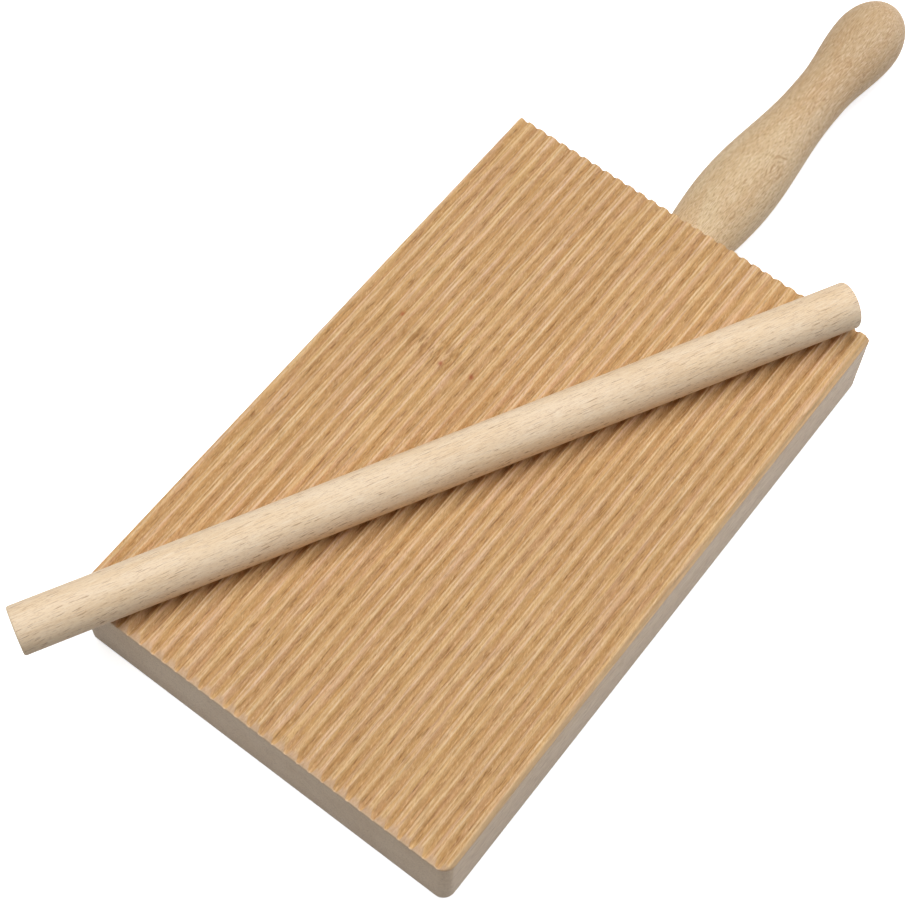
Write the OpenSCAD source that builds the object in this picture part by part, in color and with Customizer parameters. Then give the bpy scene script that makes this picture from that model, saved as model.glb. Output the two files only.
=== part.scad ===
// A beech gnocchi board: a thick slab with grooves along its top, a turned handle glued into
// its back end, and a loose rolling pin that lies slantwise on the ridges.
// The origin is the middle of the board's underside. +Y runs from the front end of the board
// to the handle, +X to the right and +Z up. All sizes are in millimetres.

/* [Board] */
// Width of the board, across the grooves
board_w = 120; // [80:1:160]
// Length of the board, along the grooves
board_l = 190; // [150:1:260]
// Thickness of the board, up to the crests of the ridges
board_t = 26; // [24:0.5:36]
// Radius of the two upright corners at the front
front_corner_r = 3.5; // [1:0.5:8]
// Radius of the two upright corners at the back, beside the handle
back_corner_r = 1; // [0.5:0.5:8]
// Radius along the edges of the underside
under_round = 1; // [0.4:0.1:2]
// Length of the slanting bevel where the ridges run out at the front face
bevel_l = 2.4; // [1:0.1:6]
// Height of that bevel, down from the crests
bevel_h = 0.9; // [0.5:0.05:3]

/* [Grooves] */
// Distance from the middle of one groove to the middle of the next
groove_pitch = 3.925; // [3:0.025:6]
// Width of a groove at the top; what is left between two grooves is a level crest
groove_w = 2.8; // [2:0.05:2.9]
// Depth of the grooves below the crests
groove_depth = 1.1; // [0.6:0.05:1.8]
// Distance from the left side of the board to the middle of its first groove
first_groove = 2.05; // [0.4:0.05:2.95]

/* [Handle] */
// Radius of the handle where it meets the board
shoulder_r = 9.4; // [8:0.1:12]
// Radius of the soft edge at that shoulder
shoulder_round = 0.8; // [0.2:0.1:1]
// Radius of the handle at its swell, the thickest part of the grip
swell_r = 11.6; // [10:0.1:13]
// Radius of the handle at its waist
waist_r = 8.4; // [6:0.1:10]
// Radius of the knob at the end of the handle
knob_r = 10.8; // [9:0.1:13]
// Length from the board to the thickest part of the swell
swell_l = 25; // [15:0.5:40]
// Length from the swell to the start of the waist
taper_l = 42; // [25:0.5:60]
// Length of the straight waist
waist_l = 4; // [1:0.5:15]
// Length from the waist to the thickest part of the knob
flare_l = 25; // [15:0.5:40]
// Length from the thickest part of the knob to the tip
nose_l = 15.3; // [8:0.1:25]
// Height of the air gap between the swell and the table
table_gap = 0.9; // [0.3:0.1:3]

/* [Handle joint] */
// Radius of the round tenon at the inner end of the handle
tenon_r = 7; // [5:0.1:7.5]
// Length of the tenon inside the board
tenon_l = 28; // [15:0.5:45]
// Chamfer round the end of the tenon
tenon_chamfer = 1; // [0.3:0.1:2]
// Room for glue round the tenon, on the radius
glue_gap = 0.1; // [0.05:0.05:0.3]
// Room for glue past the end of the tenon
glue_well = 1; // [0.5:0.1:3]

/* [Rolling pin] */
// Diameter of the pin
pin_d = 13.2; // [8:0.1:22]
// Length of the pin
pin_l = 237; // [180:1:300]
// Radius of the softened edges at both ends of the pin
pin_round = 0.6; // [0.2:0.1:2]
// Angle between the pin and the width of the board, in degrees
pin_turn = 61.8; // [0:0.1:90]
// How far the middle of the pin lies to the left of the board's middle
pin_left = 5.2; // [-20:0.1:20]
// How far the middle of the pin lies in front of the board's middle
pin_front = 8.4; // [-20:0.1:20]
// Clearance between the pin and the crests that it lies on
pin_gap = 0.2; // [0.05:0.05:0.5]

/* [Hidden] */
$fn = 72;
// How far cutters and outlines run past the faces that they cut
overrun = 1;
// Number of straight steps in each stretch of the handle's outline
steps = 14;
// Number of straight steps in the soft edge of the shoulder
edge_steps = 5;
// Number of straight steps in each half of a groove
groove_steps = 3;

// Enough grooves to pass the right side, where the side face cuts the last one
last_groove = ceil((board_w - first_groove) / groove_pitch);
handle_z = swell_r + table_gap;
bore_r = tenon_r + glue_gap;
bore_l = tenon_l + glue_well;
pin_r = pin_d / 2;
pin_z = board_t + pin_gap + pin_r;

// Where each stretch of the handle ends, measured from the board
taper_end = swell_l + taper_l;
waist_end = taper_end + waist_l;
knob_at = waist_end + flare_l;

board_colour = [0.80, 0.62, 0.43];
handle_colour = [0.85, 0.75, 0.61];
pin_colour = [0.90, 0.80, 0.68];

// X of the middle of groove number i
function groove_x(i) = first_groove - board_w / 2 + i * groove_pitch;

// Runs from 0 to 1 with level ends, as u runs from 0 to 1
function ease(u) = (1 - cos(180 * u)) / 2;

// The points of one stretch of the handle's outline, between two radii
function stretch(from_y, to_y, from_r, to_r) = [for (i = [1 : steps]) let (u = i / steps)
    [from_r + (to_r - from_r) * ease(u), from_y + (to_y - from_y) * u]];

// The soft edge of the shoulder, a quarter circle
shoulder_edge = [for (i = [0 : edge_steps]) let (a = 90 * i / edge_steps)
    [shoulder_r - shoulder_round * (1 - sin(a)), shoulder_round * (1 - cos(a))]];

// The swell rises steeply at the shoulder and levels out: a quarter sine wave
swell_curve = [for (i = [1 : steps]) let (y = shoulder_round + (swell_l - shoulder_round) * i / steps)
    [shoulder_r + (swell_r - shoulder_r) * sin(90 * (y - shoulder_round) / (swell_l - shoulder_round)), y]];

// The tip is half an ellipse
nose_curve = [for (i = [1 : steps]) let (a = 90 * i / steps)
    [i == steps ? 0 : knob_r * cos(a), knob_at + nose_l * sin(a)]];

// Half of the handle's outline: the distance from its axis, and the distance from the board
handle_outline = concat(
    [[0, -tenon_l], [tenon_r - tenon_chamfer, -tenon_l], [tenon_r, tenon_chamfer - tenon_l], [tenon_r, 0]],
    shoulder_edge,
    swell_curve,
    stretch(swell_l, taper_end, swell_r, waist_r),
    [[waist_r, waist_end]],
    stretch(waist_end, knob_at, waist_r, knob_r),
    nose_curve);

// The waste outside a quarter circle, for a corner at the origin
module corner_waste(r) {
    difference() {
        translate([-overrun, -overrun]) square(r + overrun);
        translate([r, r]) circle(r);
    }
}

// The board seen from above: a rectangle with round corners
module board_plan() {
    difference() {
        square([board_w, board_l], center = true);
        for (sx = [0, 1]) mirror([sx, 0]) {
            translate([-board_w / 2, -board_l / 2]) corner_waste(front_corner_r);
            translate([-board_w / 2, board_l / 2]) mirror([0, 1]) corner_waste(back_corner_r);
        }
    }
}

// The board seen from the front: a soft underside, and the grooves along its top
module board_front() {
    difference() {
        translate([-board_w / 2, 0]) square([board_w, board_t]);
        for (sx = [0, 1])
            mirror([sx, 0]) translate([-board_w / 2, 0]) corner_waste(under_round);
        for (i = [0 : last_groove])
            translate([groove_x(i), board_t]) groove();
    }
}

// One groove with a round bottom, half a wave deep, pointing down from the crests
module groove() {
    wave = [for (i = [-groove_steps : groove_steps]) let (u = i / groove_steps)
        [u * groove_w / 2, -groove_depth * cos(90 * u)]];
    polygon(concat([[-groove_w / 2, overrun]], wave, [[groove_w / 2, overrun]]));
}

// The waste above the front bevel, for the top front edge at the origin
module bevel_waste() {
    slope = bevel_h / bevel_l;
    low = -bevel_h - slope * overrun;
    polygon([[-overrun, low], [bevel_l + overrun / slope, overrun], [-overrun, overrun]]);
}

// The board seen from its left side, with its front end at the left
module board_side() {
    difference() {
        translate([-board_l / 2, 0]) square([board_l, board_t]);
        for (sx = [0, 1])
            mirror([sx, 0]) translate([-board_l / 2, 0]) corner_waste(under_round);
        translate([-board_l / 2, board_t]) bevel_waste();
    }
}

module board() {
    color(board_colour) difference() {
        intersection() {
            linear_extrude(board_t) board_plan();
            translate([0, board_l / 2, 0]) rotate([90, 0, 0]) linear_extrude(board_l) board_front();
            translate([-board_w / 2, 0, 0]) rotate([90, 0, 90]) linear_extrude(board_w) board_side();
        }
        translate([0, board_l / 2 - bore_l, handle_z]) rotate([-90, 0, 0])
            cylinder(bore_l + overrun, bore_r, bore_r);
    }
}

// The handle and its tenon are turned from one piece
module handle() {
    color(handle_colour) translate([0, board_l / 2, handle_z]) rotate([-90, 0, 0])
        rotate_extrude() polygon(handle_outline);
}

module rolling_pin() {
    color(pin_colour) translate([-pin_left, -pin_front, pin_z]) rotate([0, 0, pin_turn]) rotate([0, 90, 0])
        translate([0, 0, -pin_l / 2]) rotate_extrude() difference() {
            square([pin_r, pin_l]);
            translate([pin_r, 0]) mirror([1, 0]) corner_waste(pin_round);
            translate([pin_r, pin_l]) mirror([1, 0]) mirror([0, 1]) corner_waste(pin_round);
        }
}

board();
handle();
rolling_pin();
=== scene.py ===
# %% [markdown]
# # A beech gnocchi board
# The object is a thick slab of beech with round-bottomed grooves along its top, a turned handle that is
# glued into its back end, and a plain rolling pin that lies loose and slantwise on the ridges.
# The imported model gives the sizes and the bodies. This lesson gives each of the three pieces a finer
# surface and its own beech finish, and then sets up the floor, the lamps and the camera.

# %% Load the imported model
import math

import bpy
from mathutils import Matrix, Vector


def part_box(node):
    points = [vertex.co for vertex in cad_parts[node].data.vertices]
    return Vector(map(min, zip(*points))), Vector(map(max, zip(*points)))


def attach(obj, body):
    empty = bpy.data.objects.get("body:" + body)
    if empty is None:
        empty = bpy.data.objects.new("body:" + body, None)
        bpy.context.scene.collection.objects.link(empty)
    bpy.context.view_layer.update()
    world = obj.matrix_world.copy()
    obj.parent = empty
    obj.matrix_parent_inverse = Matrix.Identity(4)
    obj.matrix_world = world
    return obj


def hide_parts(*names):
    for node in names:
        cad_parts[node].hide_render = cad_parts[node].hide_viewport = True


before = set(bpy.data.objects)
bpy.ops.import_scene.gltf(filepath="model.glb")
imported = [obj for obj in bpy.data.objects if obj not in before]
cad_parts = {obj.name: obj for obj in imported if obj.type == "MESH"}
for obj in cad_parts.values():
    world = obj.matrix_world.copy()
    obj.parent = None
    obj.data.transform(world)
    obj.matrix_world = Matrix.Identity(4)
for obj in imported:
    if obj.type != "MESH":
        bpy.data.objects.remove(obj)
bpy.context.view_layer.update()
MM = 0.001


# %% [markdown]
# ## Sizes
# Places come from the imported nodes, so the visible pieces sit exactly where the solids are. Only the
# sizes that a box can't tell, such as the pitch of the grooves, are written here in millimetres.

# %% Read the places of the three nodes
board_low, board_high = (Vector(corner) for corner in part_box("board"))
pin_low, pin_high = (Vector(corner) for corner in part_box("rolling_pin"))
handle_low, handle_high = (Vector(corner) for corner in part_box("handle"))
print("board, mm:", [round(side / MM, 1) for side in board_high - board_low])

groove_pitch = 3.925 * MM
groove_depth = 1.1 * MM
left_flank = 1.70 * MM
right_flank = 1.20 * MM
groove_turn = math.radians(0.3)
first_groove = 2.3 * MM
crest_hollow = 0.15 * MM
front_corner = 3.5 * MM
back_corner = 1.0 * MM
under_radius = 1.0 * MM
bevel_length = 2.4 * MM
bevel_height = 0.8 * MM
tenon_length = 28 * MM
tenon_radius = 7 * MM
tenon_chamfer = 1.0 * MM
front_arris = 0.3 * MM
pin_length = 237 * MM
pin_round = 0.6 * MM
NEAR = 0.1 * MM

# %% [markdown]
# ## Small tools
# An operator works on whatever is selected, so every step first says which faces, edges or vertices
# it is for. One function does that by a test on each of them, and leaves the piece in edit mode.

# %% Select parts of a piece by a test
def add_primitive(name, operator, **settings):
    """Adds a primitive with nothing else selected and names it."""
    if bpy.context.mode != "OBJECT":
        bpy.ops.object.mode_set(mode="OBJECT")
    bpy.ops.object.select_all(action="DESELECT")
    operator(**settings)
    piece = bpy.context.object
    piece.name = piece.data.name = name
    return piece


def edit_where(piece, kind, test):
    """Goes into edit mode with only the vertices, edges or polygons selected that pass the test."""
    bpy.ops.object.mode_set(mode="OBJECT")
    for parts in (piece.data.vertices, piece.data.edges, piece.data.polygons):
        parts.foreach_set("select", [False] * len(parts))
    for part in [part for part in getattr(piece.data, kind) if test(part)]:
        part.select = True
    modes = ("vertices", "edges", "polygons")
    bpy.context.tool_settings.mesh_select_mode = [kind == mode for mode in modes]
    bpy.ops.object.mode_set(mode="EDIT")


def edit_all(piece):
    """Goes into edit mode with the whole piece selected."""
    edit_where(piece, "vertices", lambda part: True)


def finish_shape(piece, angle=30):
    """Leaves edit mode and shades smooth all but the edges that are sharper than the angle."""
    bpy.ops.object.mode_set(mode="OBJECT")
    bpy.ops.object.select_all(action="DESELECT")
    piece.select_set(True)
    bpy.context.view_layer.objects.active = piece
    bpy.ops.object.shade_smooth_by_angle(angle=math.radians(angle))
    triangles = sum(len(face.vertices) - 2 for face in piece.data.polygons)
    print(piece.name, "has", triangles, "triangles")


def ends_of(piece, edge):
    """The two end points of an edge."""
    return [piece.data.vertices[index].co for index in edge.vertices]


# %% [markdown]
# ## The blank of the board
# The real board starts as a planed slab with rounded corners. Here it is a cube stretched to the
# node's box. Its upright edges are bevelled round, then the edges of its underside, and one slanting
# cut takes the bevel off the top front edge, where the ridges will run out.

# %% Make the blank
top = board_high.z
blank = add_primitive("blank", bpy.ops.mesh.primitive_cube_add, size=1)
edit_all(blank)
bpy.ops.transform.resize(value=board_high - board_low)
bpy.ops.transform.translate(value=(board_low + board_high) / 2)


def upright(edge, front):
    """Whether an edge stands upright at the front or at the back end."""
    low, high = ends_of(blank, edge)
    return abs(low.z - high.z) > MM and (low.y < 0) == front


for front, radius in ((True, front_corner), (False, back_corner)):
    edit_where(blank, "edges", lambda edge: upright(edge, front))
    bpy.ops.mesh.bevel(offset=radius, offset_type="OFFSET", segments=8, affect="EDGES")
edit_where(blank, "edges",
           lambda edge: all(end.z < board_low.z + NEAR for end in ends_of(blank, edge)))
bpy.ops.mesh.bevel(offset=under_radius, offset_type="OFFSET", segments=4, affect="EDGES")
edit_all(blank)
slope = Vector((0, -bevel_height, bevel_length)).normalized()
bpy.ops.mesh.bisect(plane_co=(0, board_low.y, top - bevel_height), plane_no=slope,
                    use_fill=True, clear_outer=True)
edit_where(blank, "edges",
           lambda edge: all(end.z > top - bevel_height - NEAR for end in ends_of(blank, edge)))
bpy.ops.mesh.bevel(offset=front_arris, offset_type="OFFSET", segments=3, affect="EDGES")
finish_shape(blank)

# %% [markdown]
# ## The grooves
# A moulding cutter with round teeth runs along the board. A grid with sixteen columns to a groove is
# the ridged surface, and each of its columns is lowered by what the cutter takes off there. The
# photograph shows a long left flank that bends softly down from the crest, and a shorter right flank.
# Sanding leaves a very shallow hollow in the soft wood of each crest. Then the sheet is thickened
# downwards into a block.

# %% Make the ridged block
COLUMNS = 16
ROW = 2.0 * MM
spare = 2 * groove_pitch
left_columns = math.ceil((first_groove + spare) / groove_pitch) * COLUMNS
across = math.ceil((board_high.x - board_low.x + 2 * spare) / groove_pitch) * COLUMNS
along = math.ceil((board_high.y - board_low.y + 2 * spare) / ROW)
column_step = groove_pitch / COLUMNS
ridges = add_primitive("ridges", bpy.ops.mesh.primitive_grid_add, size=1,
                       x_subdivisions=across, y_subdivisions=along)
edit_all(ridges)
bpy.ops.transform.resize(value=(across * column_step, along * ROW, 1))
block_left = board_low.x + first_groove - left_columns * column_step
bpy.ops.transform.translate(value=(block_left + across * column_step / 2, 0, top))


def column_of(vertex):
    """How many columns a vertex is from the deepest line of the groove to its left."""
    return round((vertex.co.x - block_left) / column_step) % COLUMNS


def depth_at(place):
    """Depth below the crests, at a distance to the right of a groove's deepest line."""
    if place < right_flank:
        return groove_depth * math.cos(math.pi / 2 * place / right_flank)
    if place > groove_pitch - left_flank:
        wave = math.cos(math.pi * (groove_pitch - place) / left_flank)
        return groove_depth * (0.5 + 0.5 * wave) ** 0.85
    share = (place - right_flank) / (groove_pitch - left_flank - right_flank)
    return crest_hollow * math.sin(math.pi * share)


for column in range(COLUMNS):
    edit_where(ridges, "vertices", lambda vertex: column_of(vertex) == column)
    bpy.ops.transform.translate(value=(0, 0, -depth_at(column * column_step)))
print("grooves in the block:", across // COLUMNS)

# %% [markdown]
# The cutter tears and follows the grain, so the edges of real grooves wander by a tenth or two of a
# millimetre. Two Displace modifiers with a soft cloud pattern do this, stretched along the grain by
# an empty that they take their coordinates from. In the photograph the grooves also run 0.3 degrees
# off square, as if the blank had gone through the moulder a little crooked, so the sheet is turned.

# %% Let the edges of the grooves wander
def wander(piece, name, direction, strength, stretch):
    """Moves a surface a little along one direction by a cloud pattern stretched to a size."""
    pattern = bpy.data.textures.new(name, "CLOUDS")
    pattern.noise_scale = 1
    pattern.noise_depth = 2
    bpy.ops.object.mode_set(mode="OBJECT")
    ruler = bpy.data.objects.new(name + "_ruler", None)
    bpy.context.scene.collection.objects.link(ruler)
    ruler.scale = stretch
    bpy.context.view_layer.update()
    push = piece.modifiers.new(name, "DISPLACE")
    push.texture = pattern
    push.texture_coords = "OBJECT"
    push.texture_coords_object = ruler
    push.direction = direction
    push.strength = strength
    push.mid_level = 0.5
    bpy.context.view_layer.objects.active = piece
    bpy.ops.object.modifier_apply(modifier=push.name)
    bpy.data.objects.remove(ruler)


wander(ridges, "wandering_edges", "X", 0.9 * MM, (1.5 * MM, 10 * MM, 5 * MM))
wander(ridges, "uneven_cut", "Z", 0.35 * MM, (1.1 * MM, 9 * MM, 5 * MM))

edit_all(ridges)
bpy.ops.transform.rotate(value=-groove_turn, orient_axis="Z", orient_type="GLOBAL",
                         center_override=(0, 0, 0))
bpy.ops.object.mode_set(mode="OBJECT")
corner = min(ridges.data.vertices, key=lambda vertex: vertex.co.x - vertex.co.y).co
print("left back corner of the ridged sheet, mm:", [round(value / MM, 2) for value in corner])
edit_where(ridges, "polygons", lambda face: True)
bpy.ops.mesh.extrude_region_move(TRANSFORM_OT_translate={"value": (0, 0, -2 * top)})
bpy.ops.transform.resize(value=(1, 1, 0), center_override=(0, 0, -top))
edit_all(ridges)
bpy.ops.mesh.normals_make_consistent(inside=False)
finish_shape(ridges)

# %% [markdown]
# The finished board is what blank and ridged block have in common, so a Boolean modifier cuts the one
# with the other. The ridged block is deleted afterwards.

# %% Cut the grooves into the blank
cutting = blank.modifiers.new("grooves", "BOOLEAN")
cutting.operation = "INTERSECT"
cutting.solver = "EXACT"
cutting.object = ridges
bpy.ops.object.select_all(action="DESELECT")
bpy.context.view_layer.objects.active = blank
bpy.ops.object.modifier_apply(modifier=cutting.name)
bpy.data.objects.remove(ridges)
board = blank
board.name = board.data.name = "grooved_board"
finish_shape(board, angle=50)

# %% [markdown]
# ## The handle
# A handle like this is turned on a lathe, so it is spun here: half of its outline is drawn as a chain
# of points, out from the tenon, over the swell and the waist to the round knob, and then swept round
# the axis. The outline uses the same waves as the solid model.

# %% Work out the outline of the handle
handle_axis = (handle_low.z + handle_high.z) / 2
shoulder_radius, shoulder_round = 9.4 * MM, 0.8 * MM
swell_radius, waist_radius, knob_radius = 11.6 * MM, 8.4 * MM, 10.8 * MM
swell_at = 25 * MM
waist_at = swell_at + 42 * MM
flare_at = waist_at + 4 * MM
knob_at = flare_at + 25 * MM
handle_tip = handle_high.y - board_high.y
STEPS = 16


def ease(share):
    """Runs from 0 to 1 with level ends."""
    return (1 - math.cos(math.pi * share)) / 2


def stretch_of(start, end, start_radius, end_radius):
    """Points of one stretch of the outline between two radii."""
    shares = [step / STEPS for step in range(1, STEPS + 1)]
    return [(start + (end - start) * share, start_radius + (end_radius - start_radius) * ease(share))
            for share in shares]


quarter = [math.pi / 2 * step / STEPS for step in range(STEPS + 1)]
outline = [(-tenon_length, 0), (-tenon_length, tenon_radius - tenon_chamfer),
           (tenon_chamfer - tenon_length, tenon_radius), (0, tenon_radius)]
outline += [(shoulder_round * (1 - math.cos(a)),
             shoulder_radius - shoulder_round * (1 - math.sin(a)))
            for a in quarter[::4]]
outline += [(shoulder_round + (swell_at - shoulder_round) * a / quarter[-1],
             shoulder_radius + (swell_radius - shoulder_radius) * math.sin(a)) for a in quarter[1:]]
outline += stretch_of(swell_at, waist_at, swell_radius, waist_radius)
outline += [(flare_at, waist_radius)]
outline += stretch_of(flare_at, knob_at, waist_radius, knob_radius)
outline += [(knob_at + (handle_tip - knob_at) * math.sin(a), knob_radius * math.cos(a))
            for a in quarter[1:-1]]
outline += [(handle_tip, 0)]
print("points in the outline:", len(outline))

# %% Spin the handle
handle = add_primitive("turned_handle", bpy.ops.mesh.primitive_plane_add, size=MM)
edit_all(handle)
bpy.ops.mesh.merge(type="CENTER")
here = Vector((0, 0, 0))
for distance, radius in outline:
    place = Vector((0, board_high.y + distance, handle_axis + radius))
    if distance == -tenon_length and radius == 0:
        bpy.ops.transform.translate(value=place - here)
    else:
        bpy.ops.mesh.extrude_region_move(TRANSFORM_OT_translate={"value": place - here})
    here = place
edit_all(handle)
bpy.ops.mesh.spin(steps=96, angle=2 * math.pi, center=(0, 0, handle_axis), axis=(0, 1, 0))
edit_all(handle)
bpy.ops.mesh.remove_doubles(threshold=0.01 * MM)
bpy.ops.mesh.normals_make_consistent(inside=False)
wander(handle, "hand_sanding", "NORMAL", 0.12 * MM, (6 * MM, 15 * MM, 6 * MM))
finish_shape(handle)

# %% [markdown]
# ## The rolling pin
# The pin is a planed dowel. A cylinder is laid slantwise over the board, its two rims are bevelled as
# fine sandpaper would leave them, and cuts across its length let its surface waver very slightly.

# %% Make the pin
pin_turn = math.radians(61.8)
pin_radius = (pin_high.z - pin_low.z) / 2
pin_middle = (pin_low + pin_high) / 2
pin = add_primitive("beech_pin", bpy.ops.mesh.primitive_cylinder_add, vertices=96,
                    radius=pin_radius, depth=pin_length)


def on_rim(edge):
    """Whether an edge of the pin runs round one of its ends."""
    start, end = ends_of(pin, edge)
    return abs(start.z - end.z) < MM


edit_where(pin, "edges", on_rim)
bpy.ops.mesh.bevel(offset=pin_round, segments=3, affect="EDGES")
CUTS = 60
span = pin_length - 2 * MM
for number in range(1, CUTS):
    edit_all(pin)
    bpy.ops.mesh.bisect(plane_co=(0, 0, (number / CUTS - 0.5) * span), plane_no=(0, 0, 1))
wander(pin, "planed_surface", "NORMAL", 0.10 * MM, (5 * MM, 5 * MM, 20 * MM))
finish_shape(pin)
pin.matrix_world = (Matrix.Translation(pin_middle) @ Matrix.Rotation(pin_turn, 4, "Z")
                    @ Matrix.Rotation(math.pi / 2, 4, "Y"))
bpy.ops.object.transform_apply()

# %% [markdown]
# ## Colours and nodes
# Colours are written as the hex values that a screen shows and turned into linear light by one
# function. Another small function adds a node with its settings and its links.

# %% Helpers for materials
def linear(code, alpha=1.0):
    """An sRGB hex colour as linear red, green, blue and alpha."""
    values = [int(code[i:i + 2], 16) / 255 for i in (1, 3, 5)]
    return [v / 12.92 if v <= 0.04045 else ((v + 0.055) / 1.055) ** 2.4 for v in values] + [alpha]


def add_node(tree, kind, inputs=None, **settings):
    """Adds a node, applies its settings, and sets each input to a value or links it to a socket."""
    node = tree.nodes.new(kind)
    for name, value in settings.items():
        setattr(node, name, value)
    for socket, value in (inputs or {}).items():
        if isinstance(value, bpy.types.NodeSocket):
            tree.links.new(value, node.inputs[socket])
        else:
            node.inputs[socket].default_value = value
    return node


def new_material(name):
    """An empty node material and its tree."""
    material = bpy.data.materials.new(name)
    material.use_nodes = True
    material.node_tree.nodes.clear()
    return material, material.node_tree


# %% [markdown]
# ## Beech
# Beech is a pale, slightly pink wood with a fine, even grain. What tells the eye that it is beech are
# its rays: on a flat-sawn face they show as thousands of short, thin, darker dashes along the grain.
# Faint growth rings and a soft change of tone lie under them. All of these are made in the solid from
# Object coordinates, in millimetres along and across the grain, so they run on round every edge.

# %% The parts of a beech pattern
def grain_space(tree, turn):
    """Object coordinates in millimetres, turned so that X runs along the grain."""
    place = add_node(tree, "ShaderNodeTexCoord")
    turned = add_node(tree, "ShaderNodeMapping", {"Vector": place.outputs["Object"],
                                                  "Rotation": (0, 0, -turn),
                                                  "Scale": (1 / MM, 1 / MM, 1 / MM)})
    return turned.outputs["Vector"]


def stretched_noise(tree, space, size, detail, shift):
    """A cloud pattern whose blobs have the size given in millimetres, along the grain first."""
    scaled = add_node(tree, "ShaderNodeMapping", {"Vector": space,
                                                  "Location": (shift, shift * 1.7, shift * 0.6),
                                                  "Scale": [1 / side for side in size]})
    clouds = add_node(tree, "ShaderNodeTexNoise", {"Vector": scaled.outputs["Vector"], "Scale": 1.0,
                                                   "Detail": detail, "Roughness": 0.5})
    return clouds.outputs["Fac"]


def between(tree, value, low, high, to_low=0.0, to_high=1.0):
    """Maps a value from one range to another, clamped and with soft ends."""
    return add_node(tree, "ShaderNodeMapRange", {"Value": value, "From Min": low, "From Max": high,
                                                 "To Min": to_low, "To Max": to_high},
                    interpolation_type="SMOOTHSTEP").outputs["Result"]


def arithmetic(tree, operation, first, second):
    """One sum on two values."""
    return add_node(tree, "ShaderNodeMath", {0: first, 1: second}, operation=operation).outputs[0]


def mixed(tree, share, under, over):
    """One colour over another, by a share from 0 to 1."""
    node = add_node(tree, "ShaderNodeMix", data_type="RGBA")
    sockets = (node.inputs["Factor"], node.inputs[6], node.inputs[7])
    for socket, value in zip(sockets, (share, under, over)):
        if isinstance(value, bpy.types.NodeSocket):
            tree.links.new(value, socket)
        else:
            socket.default_value = value
    return node.outputs[2]


def part_of(tree, vector, axis):
    """One of the three numbers of a vector."""
    return add_node(tree, "ShaderNodeSeparateXYZ", {"Vector": vector}).outputs[axis]


def vector_sum(tree, operation, first, second):
    """One sum on two vectors."""
    return add_node(tree, "ShaderNodeVectorMath", {0: first, 1: second}, operation=operation).outputs[0]


def length_of(tree, vector):
    """The length of a vector."""
    return add_node(tree, "ShaderNodeVectorMath", {0: vector}, operation="LENGTH").outputs["Value"]


def reach_from(tree, space, middle, size):
    """Distance from a point as a share of a size in millimetres. The first size is along the grain."""
    moved = vector_sum(tree, "SUBTRACT", space, middle)
    return length_of(tree, vector_sum(tree, "DIVIDE", moved, size))


def knot(tree, space, middle, size, edge):
    """A blob from 1 in its middle to 0 at its rim, soft from the share of its size given by edge."""
    return between(tree, reach_from(tree, space, middle, size), 1.0, edge)


def either(tree, blobs):
    """The strongest of several patterns."""
    strongest = blobs[0]
    for blob in blobs[1:]:
        strongest = arithmetic(tree, "MAXIMUM", strongest, blob)
    return strongest


def growth_rings(tree, space, pith, ring, waver):
    """A soft saw-tooth from 0 to 1 over each ring, round a pith line below the piece, in mm."""
    drift = stretched_noise(tree, space, (120, 14, 14), detail=3, shift=5)
    moved = vector_sum(tree, "ADD", space, (0, -pith[0], -pith[1]))
    flat = vector_sum(tree, "MULTIPLY", moved, (0.02, 1, 1))
    bent = arithmetic(tree, "ADD", length_of(tree, flat), arithmetic(tree, "MULTIPLY", drift, waver))
    return arithmetic(tree, "FRACT", arithmetic(tree, "DIVIDE", bent, ring), 0.0)


def finish_wood(tree, colour, height, roughness, relief):
    """Joins colour, height and roughness in one surface. Relief is the bump's height in mm."""
    bump = add_node(tree, "ShaderNodeBump", {"Height": height, "Strength": 1.0,
                                             "Distance": relief * MM})
    surface = add_node(tree, "ShaderNodeBsdfPrincipled", {"Base Color": colour, "Roughness": roughness,
                                                         "Normal": bump.outputs["Normal"], "IOR": 1.5,
                                                         "Specular IOR Level": 0.25})
    add_node(tree, "ShaderNodeOutputMaterial", {"Surface": surface.outputs["BSDF"]})


# %% [markdown]
# ## The grooved face
# The top of the board is flat-sawn beech with a honey colour. The cutter slices through the growth
# rings at a slant, so they show as long tapering streaks. Fibres that it pulled out leave short dark
# dashes, and torn ones lie a little aslant. The colour is painted darker and browner with the depth
# below the uncut surface, which is the top or the front bevel, whichever is lower, as painted shade
# in the grooves, and the dashes are painted stronger there too.
# Along both edges of each crest the fibres are polished pale, and a painted highlight lies on these
# pale lines; between them each crest has a browner band. The oil was sanded off again at the right
# side and on the bevel, where each crest ends in a small bare facet. A brown figure crosses the grain
# left of the middle.

# %% Finish of the grooved face
def distance_from_front(tree):
    """Distance in millimetres behind the front end of the board."""
    return arithmetic(tree, "SUBTRACT", part_of(tree, grain_space(tree, 0), "Y"), board_low.y / MM)


def depth_below_cut(tree, ahead):
    """Depth in millimetres below the top of the board or below its front bevel."""
    slope = bevel_height / bevel_length
    bevel = arithmetic(tree, "SUBTRACT", arithmetic(tree, "MULTIPLY", ahead, slope), bevel_height / MM)
    uncut = arithmetic(tree, "ADD", arithmetic(tree, "MINIMUM", bevel, 0.0), top / MM)
    return arithmetic(tree, "SUBTRACT", uncut, part_of(tree, grain_space(tree, 0), "Z"))


def long_band(tree, offset, reach):
    """A soft band along every groove, at an offset from its deepest line in millimetres."""
    across = part_of(tree, grain_space(tree, groove_turn), "X")
    first = (board_low.x + first_groove) / MM + offset
    pitches = arithmetic(tree, "DIVIDE", arithmetic(tree, "SUBTRACT", across, first), groove_pitch / MM)
    away = arithmetic(tree, "MULTIPLY", arithmetic(tree, "PINGPONG", pitches, 0.5), groove_pitch / MM)
    return between(tree, away, reach, reach * 0.25)


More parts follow.
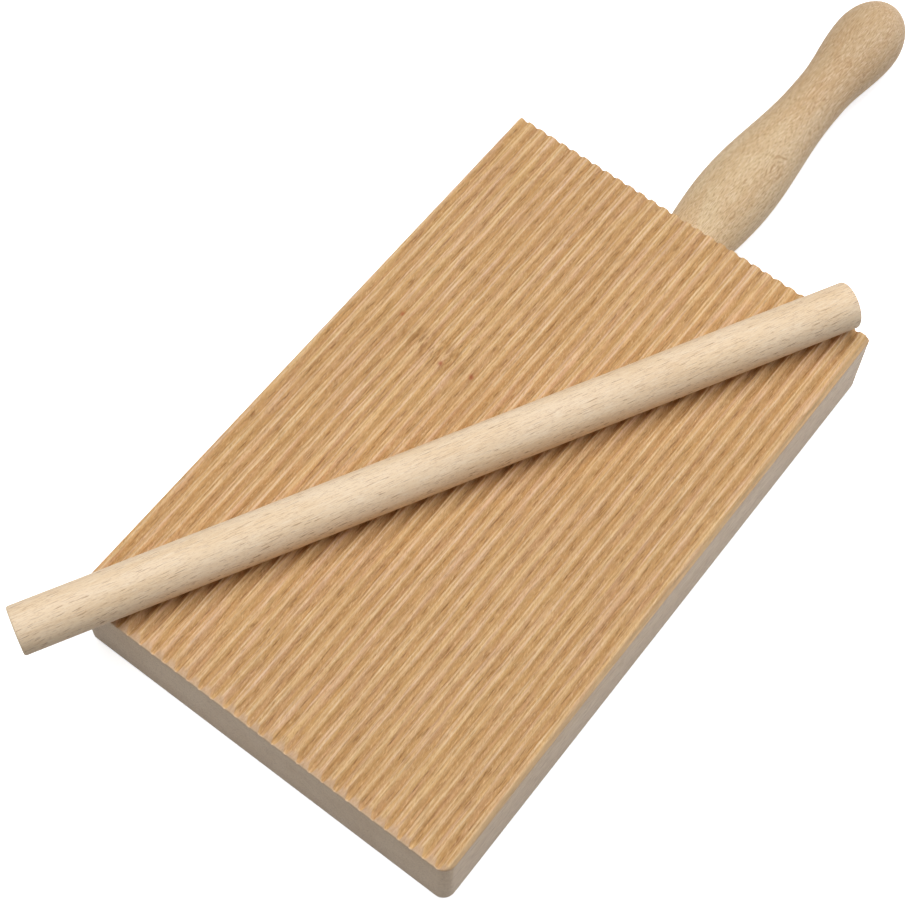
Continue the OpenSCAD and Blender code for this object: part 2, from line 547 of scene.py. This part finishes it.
def grooved_beech():
    material, tree = new_material("honey_beech_cut_by_moulder")
    space = grain_space(tree, math.pi / 2)
    rings = growth_rings(tree, space, pith=(25, -60), ring=3.1, waver=5)
    streaks = stretched_noise(tree, space, (19, 0.42, 0.42), detail=3, shift=2)
    fibres = stretched_noise(tree, space, (7, 0.15, 0.15), detail=2, shift=9)
    blush = stretched_noise(tree, space, (16, 1.6, 1.6), detail=3, shift=4)
    tone = stretched_noise(tree, space, (70, 16, 16), detail=2, shift=11)
    dashes = between(tree, stretched_noise(tree, space, (4.2, 0.26, 0.6), detail=1, shift=7), 0.58, 0.70)
    hairs = stretched_noise(tree, space, (9, 0.26, 0.26), detail=3, shift=41)
    ahead = distance_from_front(tree)
    depth = depth_below_cut(tree, ahead)
    aslant = grain_space(tree, math.pi / 2 + math.radians(24))
    torn = stretched_noise(tree, aslant, (1.5, 0.28, 0.28), detail=2, shift=71)
    # Painted shade: the deeper in a groove, the darker and browner the colour.
    painted_groove_shade = between(tree, depth, 0.35, 0.95)
    colour = mixed(tree, between(tree, blush, 0.42, 0.70), linear("#DEB47A"), linear("#E1B68E"))
    colour = mixed(tree, between(tree, tone, 0.35, 0.65, 0, 0.35), colour, linear("#CFA06A"))
    colour = mixed(tree, between(tree, rings, 0.45, 0.98, 0, 0.22), colour, linear("#B9844C"))
    colour = mixed(tree, between(tree, streaks, 0.42, 0.72, 0, 0.50), colour, linear("#BE8D58"))
    colour = mixed(tree, between(tree, fibres, 0.48, 0.78, 0, 0.40), colour, linear("#F4D4A8"))
    colour = mixed(tree, arithmetic(tree, "MULTIPLY", painted_groove_shade, 0.47), colour, linear("#AC8352"))
    # A browner band along the middle of each crest.
    soft = arithmetic(tree, "MULTIPLY", long_band(tree, 1.60, 0.32), 0.38)
    colour = mixed(tree, soft, colour, linear("#BC8E58"))
    # Pale lines along both edges of each crest: partly polished worn fibres, partly a painted highlight.
    pale = between(tree, hairs, 0.36, 0.62, 0.15, 0.95)
    edges = either(tree, [long_band(tree, -1.68, 0.52), long_band(tree, 1.06, 0.52)])
    patches = stretched_noise(tree, space, (24, 2.4, 2.4), detail=2, shift=61)
    patchy_wear_and_highlight = between(tree, patches, 0.32, 0.68, 0.36, 0.84)
    worn_and_highlight = arithmetic(tree, "MULTIPLY", arithmetic(tree, "MULTIPLY", edges, patchy_wear_and_highlight), pale)
    polished_and_highlight_colour = mixed(tree, between(tree, blush, 0.40, 0.62), linear("#F3D6AC"), linear("#EDCCAA"))
    colour = mixed(tree, worn_and_highlight, colour, polished_and_highlight_colour)
    colour = mixed(tree, between(tree, torn, 0.54, 0.74, 0, 0.42), colour, linear("#A9773F"))
    colour = mixed(tree, between(tree, torn, 0.46, 0.28, 0, 0.42), colour, linear("#F3D5A6"))
    # Painted shade: the dashes grow stronger deeper in the grooves.
    share = between(tree, painted_groove_shade, 0.0, 1.0, 0.12, 0.55)
    colour = mixed(tree, arithmetic(tree, "MULTIPLY", dashes, share), colour, linear("#8A5A30"))
    mottle = stretched_noise(tree, space, (3.2, 1.3, 1.3), detail=3, shift=31)
    figure = arithmetic(tree, "MULTIPLY", between(tree, mottle, 0.42, 0.60),
                        knot(tree, space, (18, 31, 26), (6.5, 19, 9), edge=0.2))
    colour = mixed(tree, arithmetic(tree, "MULTIPLY", figure, 0.55), colour, linear("#96642F"))
    spots = either(tree, [knot(tree, space, (along, across, 26), (1.3, 1.0, 4), edge=0.1)
                          for along, across in ((17.7, 19), (15.6, 28), (22, 46))])
    colour = mixed(tree, arithmetic(tree, "MULTIPLY", spots, 0.75), colour, linear("#A4502E"))
    ragged = arithmetic(tree, "ADD", ahead, arithmetic(tree, "MULTIPLY", hairs, 2.0))
    facet = between(tree, ragged, bevel_length / MM + 1.5, bevel_length / MM - 0.5, 0, 0.9)
    facet = arithmetic(tree, "MULTIPLY", facet, between(tree, depth, 0.25, 0.05))
    bare = mixed(tree, between(tree, hairs, 0.35, 0.65), linear("#D3AC86"), linear("#DDBA98"))
    colour = mixed(tree, facet, colour, bare)
    # A pale strip along the front arris: worn wood, with a painted highlight on it.
    colour = mixed(tree, between(tree, ahead, 0.55, 0.15, 0, 0.6), colour, linear("#E6CBAA"))
    across_board = part_of(tree, grain_space(tree, 0), "X")
    rim = between(tree, across_board, board_high.x / MM - 1.5, board_high.x / MM - 0.5)
    colour = mixed(tree, arithmetic(tree, "MULTIPLY", rim, 0.7), colour, linear("#C8A984"))
    height = arithmetic(tree, "SUBTRACT", arithmetic(tree, "SUBTRACT", fibres, dashes), torn)
    finish_wood(tree, colour, height, between(tree, fibres, 0.3, 0.7, 0.62, 0.5), relief=0.08)
    return material


# %% [markdown]
# ## The planed sides
# The sides and the underside were planed and left bare, so they are paler and greyer than the oiled
# ridges. Some oil has seeped over the upper edges and fades out within three millimetres.

# %% Finish of the planed sides
def planed_beech():
    material, tree = new_material("bare_beech_planed")
    space = grain_space(tree, math.pi / 2)
    rings = growth_rings(tree, space, pith=(25, -60), ring=2.6, waver=5)
    fibres = stretched_noise(tree, space, (6, 0.30, 0.30), detail=2, shift=3)
    tone = stretched_noise(tree, space, (40, 8, 8), detail=2, shift=4)
    dashes = between(tree, stretched_noise(tree, space, (2.4, 0.32, 0.32), detail=2, shift=7), 0.53, 0.66)
    colour = mixed(tree, between(tree, tone, 0.3, 0.7), linear("#E0C8AB"), linear("#D8BEA0"))
    colour = mixed(tree, between(tree, rings, 0.5, 0.98, 0, 0.14), colour, linear("#BFA084"))
    colour = mixed(tree, between(tree, fibres, 0.45, 0.72, 0, 0.48), colour, linear("#EBD7C1"))
    colour = mixed(tree, arithmetic(tree, "MULTIPLY", dashes, 0.44), colour, linear("#9C7A5E"))
    below = arithmetic(tree, "SUBTRACT", top / MM, part_of(tree, grain_space(tree, 0), "Z"))
    seep = arithmetic(tree, "ADD", below, arithmetic(tree, "MULTIPLY", fibres, 1.5))
    colour = mixed(tree, between(tree, seep, 3.2, 0.8, 0, 0.75), colour, linear("#C89E6C"))
    finish_wood(tree, colour, arithmetic(tree, "SUBTRACT", fibres, dashes), 0.6, relief=0.02)
    return material


# %% [markdown]
# ## The turned handle
# The handle is bare beech, sanded on the lathe. Its dashes are short, fine and dense, and a few small
# knots with a curl of darker grain sit on the swell and on the knob.

# %% Finish of the handle
def arches(tree, space, middle, size, ring):
    """Broken dark lines nested round a point, where the lathe cut through a bulge of the rings."""
    reach = reach_from(tree, space, middle, size)
    bent = arithmetic(tree, "ADD", reach, stretched_noise(tree, space, (9, 5, 5), detail=1, shift=51))
    lines = between(tree, arithmetic(tree, "PINGPONG", bent, ring / 2), ring * 0.18, ring * 0.42)
    broken = stretched_noise(tree, space, (2.6, 1.4, 1.4), detail=1, shift=53)
    faded = arithmetic(tree, "MULTIPLY", between(tree, reach, 1.0, 0.5),
                       between(tree, broken, 0.42, 0.60))
    return arithmetic(tree, "MULTIPLY", lines, faded)


def turned_beech():
    material, tree = new_material("bare_beech_turned_and_sanded")
    space = grain_space(tree, math.pi / 2)
    rings = growth_rings(tree, space, pith=(6, -22), ring=2.2, waver=7)
    fibres = stretched_noise(tree, space, (3.0, 0.3, 0.3), detail=2, shift=13)
    tone = stretched_noise(tree, space, (14, 5, 5), detail=3, shift=14)
    dashes = between(tree, stretched_noise(tree, space, (1.5, 0.24, 0.4), detail=2, shift=17), 0.51, 0.63)
    colour = mixed(tree, between(tree, tone, 0.3, 0.7), linear("#DBC199"), linear("#D3B48A"))
    far = between(tree, part_of(tree, space, "X"), 120, 178, 0, 0.50)
    colour = mixed(tree, far, colour, linear("#BC9870"))
    colour = mixed(tree, between(tree, rings, 0.5, 0.98, 0, 0.18), colour, linear("#C79C70"))
    colour = mixed(tree, between(tree, fibres, 0.45, 0.70, 0, 0.38), colour, linear("#F8E4C6"))
    curls = either(tree, [arches(tree, space, middle, size, ring) for middle, size, ring in (
        ((129, -6.4, 21.5), (9, 4.2, 5), 0.24), ((122.3, -6.6, 22), (2.6, 1.7, 2.5), 0.8),
        ((107.5, -5.4, 22), (3.0, 2.2, 3), 0.7), ((159, -5, 19.5), (3.2, 1.8, 3), 0.9))])
    colour = mixed(tree, arithmetic(tree, "MULTIPLY", curls, 0.46), colour, linear("#A06F3C"))
    colour = mixed(tree, arithmetic(tree, "MULTIPLY", dashes, 0.42), colour, linear("#966636"))
    finish_wood(tree, colour, arithmetic(tree, "SUBTRACT", fibres, dashes), 0.58, relief=0.02)
    return material


# %% [markdown]
# ## The pin
# The pin is the palest piece. Its dashes are about 2 to 5 mm long and run a little aslant to its
# axis, because the dowel was not cut quite along the grain.

# %% Finish of the pin
def dowel_beech():
    material, tree = new_material("bare_beech_planed_dowel")
    space = grain_space(tree, pin_turn + math.radians(3))
    rings = growth_rings(tree, space, pith=(9, -20), ring=2.4, waver=4)
    fibres = stretched_noise(tree, space, (4, 0.24, 0.24), detail=2, shift=23)
    tone = stretched_noise(tree, space, (30, 5, 5), detail=3, shift=24)
    fine = between(tree, stretched_noise(tree, space, (1.8, 0.18, 0.4), detail=2, shift=27), 0.53, 0.67)
    bold = between(tree, stretched_noise(tree, space, (4.4, 0.18, 0.6), detail=1, shift=37), 0.635, 0.70)
    dashes = arithmetic(tree, "MAXIMUM", arithmetic(tree, "MULTIPLY", fine, 0.36), bold)
    colour = mixed(tree, between(tree, tone, 0.3, 0.7), linear("#F6DEBE"), linear("#EFD3AE"))
    colour = mixed(tree, between(tree, rings, 0.5, 0.98, 0, 0.20), colour, linear("#D6B38C"))
    colour = mixed(tree, between(tree, fibres, 0.45, 0.72, 0, 0.42), colour, linear("#FFF0DA"))
    speckle = stretched_noise(tree, space, (0.7, 0.4, 0.4), detail=2, shift=47)
    colour = mixed(tree, between(tree, speckle, 0.55, 0.75, 0, 0.30), colour, linear("#CFA678"))
    colour = mixed(tree, arithmetic(tree, "MULTIPLY", dashes, 0.55), colour, linear("#8F5418"))
    finish_wood(tree, colour, arithmetic(tree, "SUBTRACT", fibres, dashes), 0.58, relief=0.005)
    return material


# %% [markdown]
# ## Dress the pieces
# The ridges and the front bevel take the honey finish and everything else on the board the bare one.
# A face belongs to the ridges if it lies in the grooved layer and looks upwards.

# %% Give each piece its finish, its body and its node
board.data.materials.clear()
board.data.materials.append(planed_beech())
board.data.materials.append(grooved_beech())
grooved_floor = top - groove_depth - 0.4 * MM
for face in board.data.polygons:
    face.material_index = int(face.center.z > grooved_floor and face.normal.z > 0.25)
print("ridge faces:", sum(face.material_index for face in board.data.polygons))
handle.data.materials.append(turned_beech())
pin.data.materials.append(dowel_beech())
for piece, body, node, finish in ((board, "board", "board", "board_wood"),
                                  (handle, "board", "handle", "handle_wood"),
                                  (pin, "rolling_pin", "rolling_pin", "pin_wood")):
    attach(piece, body)
    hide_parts(node)

# %% [markdown]
# ## Floor, lamps and camera
# The photograph has a pure white ground. The floor is a plain grey-white surface that glows towards
# the camera and in mirrors only, so it stays white and still takes the shadow. One large soft lamp
# hangs above and a little behind the left side. A weak cool one stands low at the back right, and a
# weak sky fills the shade.

# %% Make the floor
floor = add_primitive("floor", bpy.ops.mesh.primitive_plane_add, size=6)
material, tree = new_material("white_ground")
ray = add_node(tree, "ShaderNodeLightPath")
seen = arithmetic(tree, "MAXIMUM", ray.outputs["Is Camera Ray"], ray.outputs["Is Glossy Ray"])
seen = arithmetic(tree, "MAXIMUM", seen, ray.outputs["Is Transmission Ray"])
paper_colour = mixed(tree, seen, linear("#ACACAC"), linear("#FFFFFF"))
paper = add_node(tree, "ShaderNodeBsdfDiffuse", {"Color": paper_colour})
glow = add_node(tree, "ShaderNodeEmission", {"Color": linear("#FFFFFF"),
                                             "Strength": arithmetic(tree, "MULTIPLY", seen, 0.68)})
both = add_node(tree, "ShaderNodeAddShader", {0: paper.outputs[0], 1: glow.outputs[0]})
add_node(tree, "ShaderNodeOutputMaterial", {"Surface": both.outputs[0]})
floor.data.materials.append(material)

# %% Hang the lamps
def add_lamp(name, place, target, size, power, colour="#FFFFFF"):
    """A square soft lamp that looks at a target."""
    data = bpy.data.lights.new(name, "AREA")
    data.size, data.energy, data.color = size, power, linear(colour)[:3]
    lamp = bpy.data.objects.new(name, data)
    bpy.context.scene.collection.objects.link(lamp)
    lamp.location = place
    lamp.rotation_euler = (Vector(target) - Vector(place)).to_track_quat("-Z", "Y").to_euler()


middle = (0, 0, top)
add_lamp("key_above", (-0.19, 0.08, 1.85), middle, 1.6, 34.5)
add_lamp("fill_low_right", (0.62, 0.92, 0.34), middle, 0.5, 4.1, "#E6EEFF")
world = bpy.data.worlds.new("studio")
bpy.context.scene.world = world
world.use_nodes = True
world.node_tree.nodes.clear()
tree = world.node_tree
ray = add_node(tree, "ShaderNodeLightPath")
seen = arithmetic(tree, "MAXIMUM", ray.outputs["Is Camera Ray"], ray.outputs["Is Glossy Ray"])
level = arithmetic(tree, "ADD", arithmetic(tree, "MULTIPLY", seen, 0.90), 0.10)
sky = add_node(tree, "ShaderNodeBackground", {"Color": linear("#FFFFFF"), "Strength": level})
add_node(tree, "ShaderNodeOutputWorld", {"Surface": sky.outputs[0]})

# %% [markdown]
# The camera's place, turn and lens were fitted to the corners of the board in the photograph. The
# small shift is there because the photograph is a cut from a larger picture.

# %% Place the camera
PICTURE_W, PICTURE_H = 909, 902
lens_px = 2001.0
centre_x, centre_y = 509.8, 503.9
camera_place = (0.13679, -0.20104, 0.49468)
azimuth, elevation, roll = math.radians(32.632), math.radians(63.776), math.radians(4.828)
lens = bpy.data.cameras.new("camera")
lens.sensor_fit = "HORIZONTAL"
lens.sensor_width = 36
lens.lens = lens_px * lens.sensor_width / PICTURE_W
lens.shift_x = -(centre_x - PICTURE_W / 2) / PICTURE_W
lens.shift_y = (centre_y - PICTURE_H / 2) / PICTURE_W
camera = bpy.data.objects.new("camera", lens)
bpy.context.scene.collection.objects.link(camera)
bpy.context.scene.camera = camera
turn = (Matrix.Rotation(azimuth, 4, "Z") @ Matrix.Rotation(math.pi / 2 - elevation, 4, "X")
        @ Matrix.Rotation(roll, 4, "Z"))
camera.matrix_world = Matrix.Translation(camera_place) @ turn
bpy.context.scene.view_settings.view_transform = "Standard"
